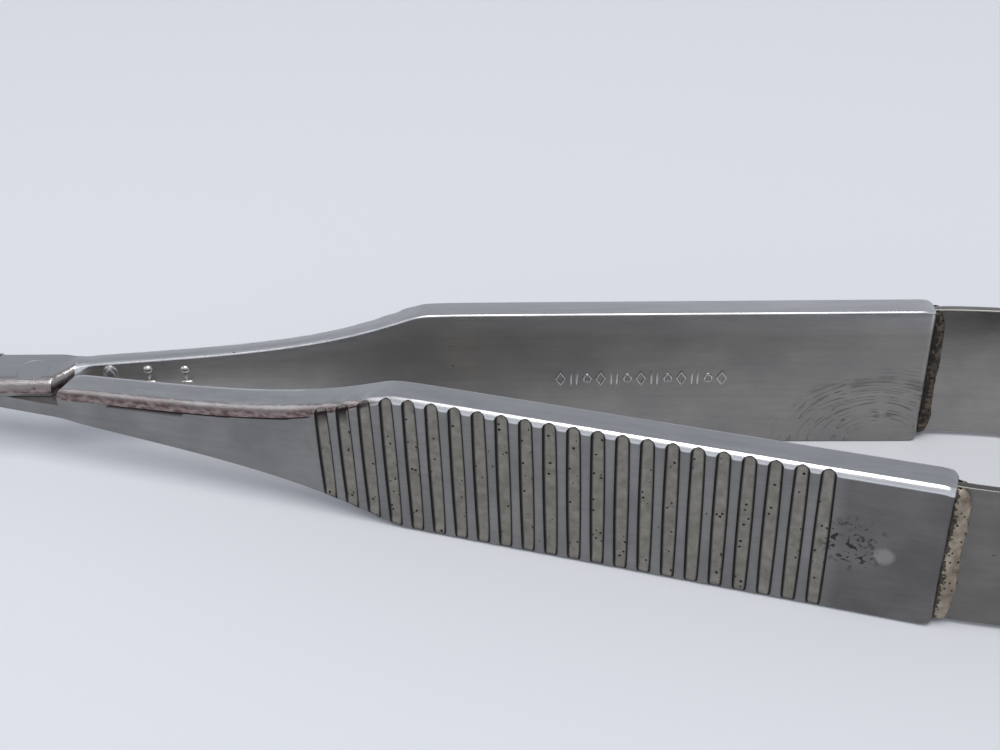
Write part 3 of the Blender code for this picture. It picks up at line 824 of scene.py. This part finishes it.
def lever_steel(side):
    """Satin ground steel: ground strips painted lighter as lit tops, broad faces painted dark as
    shade, rounded top edges polished and painted near white as a highlight, tarnished on the neck,
    earthy grooves whose walls are painted dark as shadow, a painted shadow line under the neck's
    edge, streaks, pits, stains and rubs."""
    material, tree, shader, place = start_steel(f"{side}_lever_steel", FACING[side])
    neck = zone(tree, "neck")
    groove = zone(tree, "groove")
    above_foot = reckon(tree, "SUBTRACT", 1.0, zone(tree, "foot"))
    rounded = times(tree, zone(tree, "rounded"), above_foot)
    streaks = use_group(tree, GRIND, Place=place)
    stain = ramp(tree, noise(tree, place, 0.34, 4.0), 0.35, 0.68)
    colour = face_colour(tree, place, stain, side)
    # Painted highlight on a polished edge: the top flank's rounded edges are painted near white, a
    # tarnished grey on the neck; the flank the tool lies on keeps the face's colour.
    colour = mix(tree, rounded, colour, mix(tree, neck, *ROUNDED_EDGE_HIGHLIGHT))
    speck = ramp(tree, noise(tree, stretch(tree, place, (0.45, 1, 1)), 4.5, 3.0), 0.38, 0.6)
    tarnish = times(tree, neck, rounded)
    low_band = times(tree, zone(tree, "low_band"), 1.3)
    patch = reckon(tree, "MULTIPLY_ADD", stain, 0.3, low_band)
    patch = reckon(tree, "MINIMUM", reckon(tree, "MULTIPLY_ADD", speck, 0.3, patch), 1.0)
    rusty = times(tree, tarnish, patch)
    colour = mix(tree, rusty, colour, mix(tree, speck, *RUST))
    dirt = noise(tree, place, 2.3, 3.0)
    floor = times(tree, reckon(tree, "SUBTRACT", groove, FLOOR_DEPTH_SHARE), 5.0)
    floor = reckon(tree, "MINIMUM", reckon(tree, "MAXIMUM", floor, 0.0), 1.0)
    # The grooves' walls and arched top ends are painted near black: a painted shadow in the
    # recesses.
    wall_shadow = reckon(tree, "MINIMUM", times(tree, groove, 5.0), 1.0)
    wall_shadow = reckon(tree, "SUBTRACT", wall_shadow, floor)
    colour = mix(tree, floor, colour, mix(tree, dirt, *EARTH))
    arch = times(tree, zone(tree, "arch"), reckon(tree, "MULTIPLY_ADD", neck, -0.7, 0.8))
    colour = mix(tree, reckon(tree, "MAXIMUM", wall_shadow, arch), colour, GROOVE_WALL_SHADOW)
    # A painted shadow: the dark line under the neck's rounded edge.
    colour = mix(tree, times(tree, zone(tree, "seam_shadow"), neck), colour, SEAM_SHADOW)
    colour = shade_by(tree, colour, streaks, 0.5)
    pits = use_group(tree, PITS, Place=place, Scale=0.8, Size=0.05, Cover=0.55)
    pits = times(tree, pits, reckon(tree, "SUBTRACT", 1.0, zone(tree, "strip")))
    groove_pits = use_group(tree, PITS, Place=place, Scale=2.6, Size=0.19, Cover=0.5)
    groove_pits = times(tree, groove_pits, floor)
    marks = reckon(tree, "MAXIMUM", times(tree, pits, 0.7), groove_pits)
    colour = mix(tree, marks, colour, PIT)
    if side == "near":
        smudge = use_group(tree, SPOT, Place=place, Centre=SMUDGE_CENTRE, Radius=SMUDGE_RADIUS)
        blot = ramp(tree, noise(tree, place, 2.1, 2.0, 1.2), 0.53, 0.6)
        colour = mix(tree, times(tree, smudge, blot), colour, SMUDGE)
        pale = use_group(tree, SPOT, Place=place, Centre=PALE_SPOT_CENTRE, Radius=PALE_SPOT_RADIUS)
        colour = mix(tree, times(tree, pale, 0.35), colour, PALE_SPOT)
    else:
        swirl = use_group(tree, SWIRL, Place=place, Centre=SWIRL_CENTRE)
        swirl = times(tree, swirl, zone(tree, "inside"))
        colour = mix(tree, times(tree, swirl, 0.6), colour, RUB_MARK)
        marks = reckon(tree, "MAXIMUM", marks, swirl)
    tree.links.new(colour, shader.inputs["Base Color"])
    rough = reckon(tree, "MULTIPLY_ADD", streaks, 0.16, 0.32)
    rough = reckon(tree, "MULTIPLY_ADD", rounded, -0.12, rough)
    rough = reckon(tree, "MULTIPLY_ADD", groove, 0.14, rough)
    tree.links.new(rough, shader.inputs["Roughness"])
    height = reckon(tree, "MULTIPLY_ADD", marks, -1.0, times(tree, streaks, 0.35))
    height = reckon(tree, "MULTIPLY_ADD", times(tree, dirt, floor), 0.8, height)
    height = reckon(tree, "MULTIPLY_ADD", times(tree, speck, tarnish), 0.22, height)
    add_bump(tree, shader, height, 0.5, 0.00005)
    return material


for side in ("far", "near"):
    forging = forging_mesh(side == "far")
    paint_zones(forging, side == "far")
    finish_piece(
        f"{side}_lever_forging",
        place_lever(forging, side),
        f"{side}_handle",
        [f"{side}_lever"],
        lever_steel(side),
    )


# The marks on the far lever's inner face: three raised forging marks beside the joint and a long
# row of small raised figures on the grip. Both are plain shapes, struck when the lever is forged.
FORGING_MARK_PLACES = (4.5, 6.7, 8.85)
FORGING_MARK_HEIGHT = 0.6
FIGURE_DOMES = ((0.3, 0.24, 0.2, 0.34), (0.11, 0.3, 0.13, -0.08), (0.38, 0.11, 0.16, -0.52))
ROW_FIRST = 30.35
ROW_PITCH = 0.76
ROW_COUNT = 13
ROW_HEIGHT = 0.16
MARK_COLOURS = ((0.5, 0.495, 0.49), (0.78, 0.775, 0.77))


def ring_mark(half_wide, half_tall, thick, power, steps=28):
    """A closed ring standing on the face: an oval at power 2, a lozenge at power 1."""
    way = np.arange(steps) * 2 * math.pi / steps
    share = np.abs(np.cos(way)) ** power + np.abs(np.sin(way)) ** power
    reach = 1 / share ** (1 / power)
    wide = half_wide * np.cos(way) * reach
    tall = half_tall * np.sin(way) * reach
    core = np.stack((wide, 0 * way, tall), axis=1)
    after = np.roll(core, -1, axis=0) - np.roll(core, 1, axis=0)
    after /= np.linalg.norm(after, axis=1)[:, None]
    side = np.stack((after[:, 2], 0 * way, -after[:, 0]), axis=1)
    round_it = np.radians(np.arange(0, 360, 45))
    bulge = side[:, None, :] * np.cos(round_it)[None, :, None]
    bulge = bulge + np.array((0, 1, 0))[None, None, :] * np.sin(round_it)[None, :, None]
    return core[:, None, :] + bulge * thick


def dome_mark(half_wide, half_tall, thick):
    """A low dome standing on the face: rings of an ellipsoid from pole to pole along its height."""
    tilt = np.radians(np.linspace(-84, 84, 15))[:, None]
    way = np.radians(np.arange(0, 360, 18))[None, :]
    wide = half_wide * np.cos(tilt) * np.cos(way)
    out = thick * np.cos(tilt) * np.sin(way)
    return np.stack((wide, out, half_tall * np.sin(tilt) + 0 * way), axis=2)


def mark_parts():
    """Every mark at its place on the lever: an oval and two dome-and-bar pairs, then the row."""
    parts = []
    for index, along in enumerate(FORGING_MARK_PLACES):
        if index == 0:
            parts.append((ring_mark(0.3, 0.47, 0.17, 2) + (along, 0, FORGING_MARK_HEIGHT), True))
        else:
            for half_wide, half_tall, thick, rise in FIGURE_DOMES:
                place = (along, 0, FORGING_MARK_HEIGHT + rise)
                parts.append((dome_mark(half_wide, half_tall, thick) + place, False))
    for index in range(ROW_COUNT):
        place = (ROW_FIRST + index * ROW_PITCH, 0, ROW_HEIGHT)
        if index % 3 == 0:
            parts.append((ring_mark(0.25, 0.44, 0.06, 1) + place, True))
        elif index % 3 == 1:
            for shift in (-0.16, 0.16):
                parts.append((dome_mark(0.07, 0.48, 0.07) + place + np.array((shift, 0, 0)), False))
        else:
            parts.append((ring_mark(0.2, 0.24, 0.06, 2) + place, True))
    return parts


def mark_steel():
    """Polished tops on the raised marks, a little uneven."""
    material, tree, shader, place = start_steel("mark_steel", -HALF_ANGLE)
    colour = mix(tree, use_group(tree, GRIND, Place=place), *MARK_COLOURS)
    tree.links.new(colour, shader.inputs["Base Color"])
    shader.inputs["Roughness"].default_value = 0.24
    return material


def make_marks():
    """Builds the marks and fixes them to the far lever's inner face."""
    mesh = join_rings("marks", mark_parts())
    mesh.transform(FROM_PIVOT @ SWUNG_OPEN)
    finish_piece("far_lever_marks", mesh, "far_handle", (), mark_steel())


make_marks()


# The pivot rivet: one steel pin with a countersunk head at each end, spun over and ground flush
# with the hub, so only a hairline shows.
TURNED_COLOURS = ((0.40, 0.41, 0.43), (0.48, 0.49, 0.51))
RIVET_PROFILE = (
    (0.02, -HUB_HALF_HEIGHT),
    (RIVET_HEAD_RADIUS - 0.015, -HUB_HALF_HEIGHT),
    (RIVET_HEAD_RADIUS, -HUB_HALF_HEIGHT + 0.02),
    (RIVET_RADIUS, RIVET_HEAD_DEPTH - HUB_HALF_HEIGHT),
    (RIVET_RADIUS, HUB_HALF_HEIGHT - RIVET_HEAD_DEPTH),
    (RIVET_HEAD_RADIUS, HUB_HALF_HEIGHT - 0.02),
    (RIVET_HEAD_RADIUS - 0.015, HUB_HALF_HEIGHT),
    (0.02, HUB_HALF_HEIGHT),
)


def flush_steel():
    """Ground steel like the hub's top, with turning rings from the peening tool."""
    material, tree, shader, place = start_steel("pivot_rivet_steel", 0.0)
    radius = vector(tree, "LENGTH", vector(tree, "MULTIPLY", place, (1, 1, 0)))
    turned = add_node(tree, "ShaderNodeCombineXYZ", {0: times(tree, radius, 9.0)}).outputs[0]
    colour = mix(tree, noise(tree, turned, 1.0), *TURNED_COLOURS)
    tree.links.new(colour, shader.inputs["Base Color"])
    shader.inputs["Roughness"].default_value = 0.38
    return material


def make_pivot_rivet():
    """Turns the profile about the pivot's axis."""
    mesh = tube_mesh("pivot_rivet", disc_rings(RIVET_PROFILE, RIVET_STEPS))
    mesh.transform(FROM_PIVOT)
    steel = flush_steel()
    finish_piece("pivot_rivet_pin", mesh, "far_handle", ["pivot_rivet"], steel)


make_pivot_rivet()


# The four brazed beads: silver braze run into the corners where each leaf leaves its lever, left
# as it set, lumpy and pitted. It is tan where clean and dark brown where flux has burnt on.
LEAF_THICKNESS = 0.45
BEAD_LENGTHS = {"far_inner": 0.62, "far_outer": 0.72, "near_inner": 0.7, "near_outer": 0.76}
BEAD_THICKNESS = 0.46
BEAD_HALF_HEIGHT = 4.2
BEAD_TUCK = 0.12
BEAD_SWELLING = 0.07
BEAD_LUMPS = 0.04
BEAD_ROUGHNESS = 0.022
BEAD_EDGE_WANDER = 0.03
BEAD_STATIONS = 180
BORDER_REACH = {True: 1.8, False: 0.8}
BRAZE_COLOURS = {
    True: ((0.05, 0.037, 0.028), (0.17, 0.135, 0.105)),
    False: ((0.18, 0.145, 0.107), (0.38, 0.325, 0.26)),
}
BRAZE_PIT = (0.015, 0.013, 0.01)


def wander(places, seed, longest, count=7):
    """A smooth random curve between about -1 and 1: a sum of sines of falling length."""
    chance = np.random.default_rng(seed)
    total = 0 * places
    weight = 0
    for step in range(count):
        size = 0.72**step
        wave = longest * 0.62**step
        total = total + size * np.sin(2 * math.pi * (places / wave + chance.random()))
        weight += size
    return total / weight * 1.7


def bead_rings(seed, outwards, reach):
    """Sections along the bead's height. Each is a bulging quarter round from the lever's end to
    the leaf, closed by two points tucked inside the metal. Lumps and pits push its skin about."""
    up = BEAD_HALF_HEIGHT * np.sin(np.radians(np.linspace(-90, 90, BEAD_STATIONS)))[:, None]
    turn = np.radians(np.linspace(0, 90, 19))[None, :]
    ends = (1 - np.clip(np.abs(up) / (BEAD_HALF_HEIGHT + 0.03), 0, 1) ** 10) ** 0.5
    swelling = BEAD_SWELLING * wander(up, seed, 5.0)
    lump = 1 + swelling + BEAD_LUMPS * wander(up + turn * 0.8, seed + 1, 1.3)
    rough = BEAD_ROUGHNESS * wander(up + 0.25 * turn, seed + 2, 0.5) * np.sin(2 * turn)
    length = reach * ends * (lump + BEAD_EDGE_WANDER * wander(up, seed + 3, 1.7))
    thick = BEAD_THICKNESS * ends * lump
    along = length * np.sin(turn) ** 0.8 + rough
    across = thick * np.cos(turn) ** 0.7 + rough
    tuck = np.full_like(up, -BEAD_TUCK)
    along = np.concatenate((along, length * 0.9, tuck, tuck), axis=1)
    across = np.concatenate((across, tuck, tuck, thick * 0.8), axis=1)
    leaf_face = LEVER_THICKNESS / 2 + outwards * LEAF_THICKNESS / 2
    return np.stack((LEVER_REACH + along, leaf_face + outwards * across, up + 0 * along), axis=2)


def braze_material(name, side, burnt):
    """Braze metal, tan to brown by noise, with black pits, most of them along the lever's end."""
    material, tree, shader, place = start_steel(name, FACING[side])
    shader.inputs["Metallic"].default_value = 0.55
    tone = ramp(tree, noise(tree, place, 1.6, 5.0), 0.32, 0.68)
    colour = mix(tree, tone, *BRAZE_COLOURS[burnt])
    pits = use_group(tree, PITS, Place=place, Scale=3.4, Size=0.2, Cover=0.45)
    reach = BORDER_REACH[burnt]
    start = LEVER_REACH - reach * 0.36
    border = reckon(tree, "MULTIPLY_ADD", noise(tree, place, 4.5), reach, start)
    border = reckon(tree, "LESS_THAN", axis(tree, place, "X"), border)
    pits = reckon(tree, "MAXIMUM", pits, times(tree, border, 0.85))
    tree.links.new(mix(tree, pits, colour, BRAZE_PIT), shader.inputs["Base Color"])
    shader.inputs["Roughness"].default_value = 0.5
    height = reckon(tree, "MULTIPLY_ADD", pits, -1.2, noise(tree, place, 7.0, 3.0))
    add_bump(tree, shader, height, 0.6, 0.00006)
    return material


def make_beads():
    """The beads of both levers, each with its own lumps. The far inner one is the burnt one."""
    seed = 11
    for side in ("far", "near"):
        for face, outwards in (("outer", 1), ("inner", -1)):
            seed += 10
            mesh = tube_mesh("bead", bead_rings(seed, outwards, BEAD_LENGTHS[f"{side}_{face}"]))
            place_lever(mesh, side)
            name = f"{side}_braze_{face}"
            material = braze_material(f"{name}_metal", side, name == "far_braze_inner")
            finish_piece(f"{name}_bead", mesh, f"{side}_handle", [name], material)


make_beads()


# The two leaf springs: strips of rolled spring steel on edge. Each stands in its lever's slot,
# bows a little outwards and narrows towards the riveted tail.
LEAF_HALF_HEIGHT = 4.25
LEAF_TAIL_HALF_HEIGHT = 3.7
LEAF_TAPER_START = 55.0
LEAF_FLEX_ROOT = 51.8
LEAF_SPLIT = 51.45
LEAF_ROOT_INSET = 0.01
LEAF_LEAVING_ANGLE = math.radians(5.5)
LEAF_ROOT_PULL = 15.0
LEAF_TAIL_PULL = 17.0
TAIL_START = 92.0
TAIL_END = 99.4
TAIL_CORNER = 1.2
TAIL_LEAF_OFFSET = 0.75
TAIL_RIVET_PLACES = (94.2, 97.2)
TAIL_RIVET_RADIUS = 0.6
TAIL_RIVET_PLAY = 0.02
UPRIGHT_TO_Y = Matrix.Rotation(math.pi / 2, 4, "X")
LEAF_PIT = (0.05, 0.05, 0.045)
# Painted light and shade: the same strip steel, with the far leaf painted lighter as lit and the
# near leaf darker as shaded.
LEAF_LIT_AND_SHADED_COLOURS = {
    "far": ((0.28, 0.272, 0.262), (0.37, 0.36, 0.343)),
    "near": ((0.15, 0.146, 0.138), (0.2, 0.194, 0.184)),
}


def on_lever(along, across):
    """A place on the open far lever as (x, y) from the pivot."""
    cosine, sine = math.cos(HALF_ANGLE), math.sin(HALF_ANGLE)
    return np.array((along * cosine - across * sine, along * sine + across * cosine))


def leaf_middle():
    """The leaf's middle line as rows of (x, y): straight in the bead, a cubic curve, the tail."""
    inside = on_lever(LEAF_SPLIT, LEVER_THICKNESS / 2)
    start = on_lever(LEAF_FLEX_ROOT, LEVER_THICKNESS / 2)
    end = np.array((TAIL_START, TAIL_LEAF_OFFSET))
    leaving = np.array((math.cos(LEAF_LEAVING_ANGLE), math.sin(LEAF_LEAVING_ANGLE)))
    first = start + LEAF_ROOT_PULL * leaving
    second = end - np.array((LEAF_TAIL_PULL, 0))
    share = np.linspace(0, 1, 60)[:, None]
    rest = 1 - share
    curve = rest**3 * start + 3 * rest**2 * share * first
    curve = curve + 3 * rest * share**2 * second + share**3 * end
    tail = tail_stations(TAIL_START + 0.5)
    tail = np.stack((tail, np.full(len(tail), TAIL_LEAF_OFFSET)), axis=1)
    middle = np.linspace(inside, start, 5)[:-1]
    return np.concatenate((middle, curve, tail))


def tail_stations(start):
    """Places along the tail: even ones, then closer ones round its corners."""
    turn = np.radians(np.arange(6, 91, 7))
    return np.concatenate((np.arange(start, 98, 0.6), TAIL_END - TAIL_CORNER * (1 - np.sin(turn))))


def strip_half_height(place):
    """Half the strip's height: it eases from the lever's to the tail's, and the tail is rounded."""
    share = ease((place - LEAF_TAPER_START) / (TAIL_START - LEAF_TAPER_START))
    height = LEAF_HALF_HEIGHT + (LEAF_TAIL_HALF_HEIGHT - LEAF_HALF_HEIGHT) * share
    past = np.clip((place - TAIL_END + TAIL_CORNER) / TAIL_CORNER, 0, 1)
    return height - TAIL_CORNER * (1 - np.sqrt(1 - past**2))


def strip_rings(middle, half_thick):
    """Sections across a middle line: a tall thin box with rounded long edges."""
    along = np.gradient(middle, axis=0)
    along /= np.linalg.norm(along, axis=1)[:, None]
    outward = np.stack((-along[:, 1], along[:, 0]), axis=1)
    high = strip_half_height(middle[:, 0])
    turn = np.radians(np.linspace(0, 90, 5))
    edge = min(0.1, half_thick * 0.6)
    corner = np.stack((half_thick - edge * (1 - np.cos(turn)), -edge * (1 - np.sin(turn))), axis=1)
    across = np.concatenate((corner[:, 0], -corner[::-1, 0], -corner[:, 0], corner[::-1, 0]))
    sign = np.concatenate((np.ones(10), -np.ones(10)))
    inset = np.concatenate((corner[:, 1], corner[::-1, 1], corner[:, 1], corner[::-1, 1]))
    flat = middle[:, None, :] + outward[:, None, :] * across[None, :, None]
    up = sign[None, :] * (high[:, None] + inset[None, :])
    return np.concatenate((flat, up[:, :, None]), axis=2)


def leaf_root():
    """The leaf's end in the slot, a hair smaller than the leaf, which it meets inside the beads."""
    inside = on_lever(LEVER_REACH - SLOT_DEPTH + 0.04, LEVER_THICKNESS / 2)
    outside = on_lever(LEAF_FLEX_ROOT, LEVER_THICKNESS / 2)
    rings = strip_rings(np.linspace(inside, outside, 5), LEAF_THICKNESS / 2 - LEAF_ROOT_INSET)
    return tube_mesh("leaf_root", rings * (1, 1, 1 - LEAF_ROOT_INSET / LEAF_HALF_HEIGHT))


def tail_drills():
    """The two rivet holes through the tail, along Y."""
    drills = []
    for place in TAIL_RIVET_PLACES:
        hole = TAIL_RIVET_RADIUS + TAIL_RIVET_PLAY
        drill = tube_mesh("tail_hole", disc_rings(((hole, -4), (hole, 4)), 40))
        drill.transform(Matrix.Translation((place * MM, 0, 0)) @ UPRIGHT_TO_Y)
        drills.append(drill)
    return drills


def leaf_steel(name, dark, light):
    """Rolled strip: fine lengthwise grain, broad cloudy stains, a few scratches and pits."""
    material, tree, shader, place = start_steel(name, 0.0)
    streaks = use_group(tree, GRIND, Place=place, Fineness=10.0)
    cloud = ramp(tree, noise(tree, place, 0.3, 5.0, 0.8), 0.3, 0.7)
    colour = shade_by(tree, mix(tree, cloud, dark, light), streaks, 0.4)
    pits = use_group(tree, PITS, Place=place, Scale=1.0, Size=0.06, Cover=0.55)
    colour = mix(tree, times(tree, pits, 0.6), colour, LEAF_PIT)
    slanted = stretch(tree, place, (0.25, 1, 1.4), (0, 0.7, 0))
    rub = ramp(tree, noise(tree, slanted, 0.9), 0.55, 0.7)
    colour = mix(tree, times(tree, rub, 0.35), colour, dark)
    tree.links.new(colour, shader.inputs["Base Color"])
    tree.links.new(reckon(tree, "MULTIPLY_ADD", cloud, 0.12, 0.3), shader.inputs["Roughness"])
    add_bump(tree, shader, streaks, 0.3, 0.00002)
    return material


def make_leaves():
    """Both leaves with their rivet holes. Each curves from its lever to the tail, and its root
    stays with the lever."""
    for side, (dark, light) in LEAF_LIT_AND_SHADED_COLOURS.items():
        blank = tube_mesh("leaf", strip_rings(leaf_middle(), LEAF_THICKNESS / 2))
        mesh = cut_forging(blank, tail_drills())
        root = leaf_root()
        for shape in (mesh, root):
            shape.transform(FROM_PIVOT @ TURNED_OVER[side])
        material = leaf_steel(f"{side}_leaf_steel", dark, light)
        finish_piece(f"{side}_leaf_root", root, f"{side}_handle", (), material)
        replaced = [f"{side}_spring_leaf"]
        leaf = finish_piece(f"{side}_leaf_strip", mesh, None, replaced, material)
        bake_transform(leaf)


make_leaves()


# The tail: a thin steel spacer between the two leaves and two domed rivets through all three.
SPACER_START = 92.4
SPACER_HEIGHT_SHARE = 0.985
TAIL_HEAD_RADIUS = 1.05
TAIL_HEAD_HEIGHT = 0.4


def dome_profile(seat, shank):
    """Half a rivet as (radius, height): the shank, the head's flat underside, then its dome."""
    turn = np.radians(np.linspace(0, 88, 12))
    radius = TAIL_HEAD_RADIUS * np.cos(turn) ** 0.8
    height = seat + 0.05 + (TAIL_HEAD_HEIGHT - 0.05) * np.sin(turn)
    rows = [(shank, 0.0), (shank, seat)]
    rows += [(TAIL_HEAD_RADIUS - 0.03, seat), (TAIL_HEAD_RADIUS, seat + 0.03)]
    return rows + list(zip(radius.tolist(), height.tolist()))


def make_tail():
    """The spacer, with the leaves' height and round corners, and the two rivets."""
    half = TAIL_LEAF_OFFSET - LEAF_THICKNESS / 2 - 0.02
    places = tail_stations(SPACER_START)
    middle = np.stack((places, 0 * places), axis=1)
    blank = tube_mesh("spacer", strip_rings(middle, half) * (1, 1, SPACER_HEIGHT_SHARE))
    mesh = cut_forging(blank, tail_drills())
    mesh.transform(FROM_PIVOT)
    material = leaf_steel("spacer_steel", (0.25, 0.245, 0.24), (0.33, 0.325, 0.315))
    finish_piece("tail_spacer_plate", mesh, "tail", ["tail_spacer"], material)
    seat = TAIL_LEAF_OFFSET + LEAF_THICKNESS / 2
    head = dome_profile(seat, TAIL_RIVET_RADIUS)
    profile = [(radius, -height) for radius, height in reversed(head)] + head[1:]
    polished = leaf_steel("tail_rivet_steel", (0.45, 0.45, 0.45), (0.6, 0.6, 0.6))
    for name, place in zip(("front", "rear"), TAIL_RIVET_PLACES):
        pin = tube_mesh("tail_rivet", disc_rings(profile, 48))
        pin.transform(FROM_PIVOT @ Matrix.Translation((place * MM, 0, 0)) @ UPRIGHT_TO_Y)
        replaced = [f"tail_rivet_{name}"]
        finish_piece(f"tail_rivet_{name}_pin", pin, "tail", replaced, polished)


make_tail()
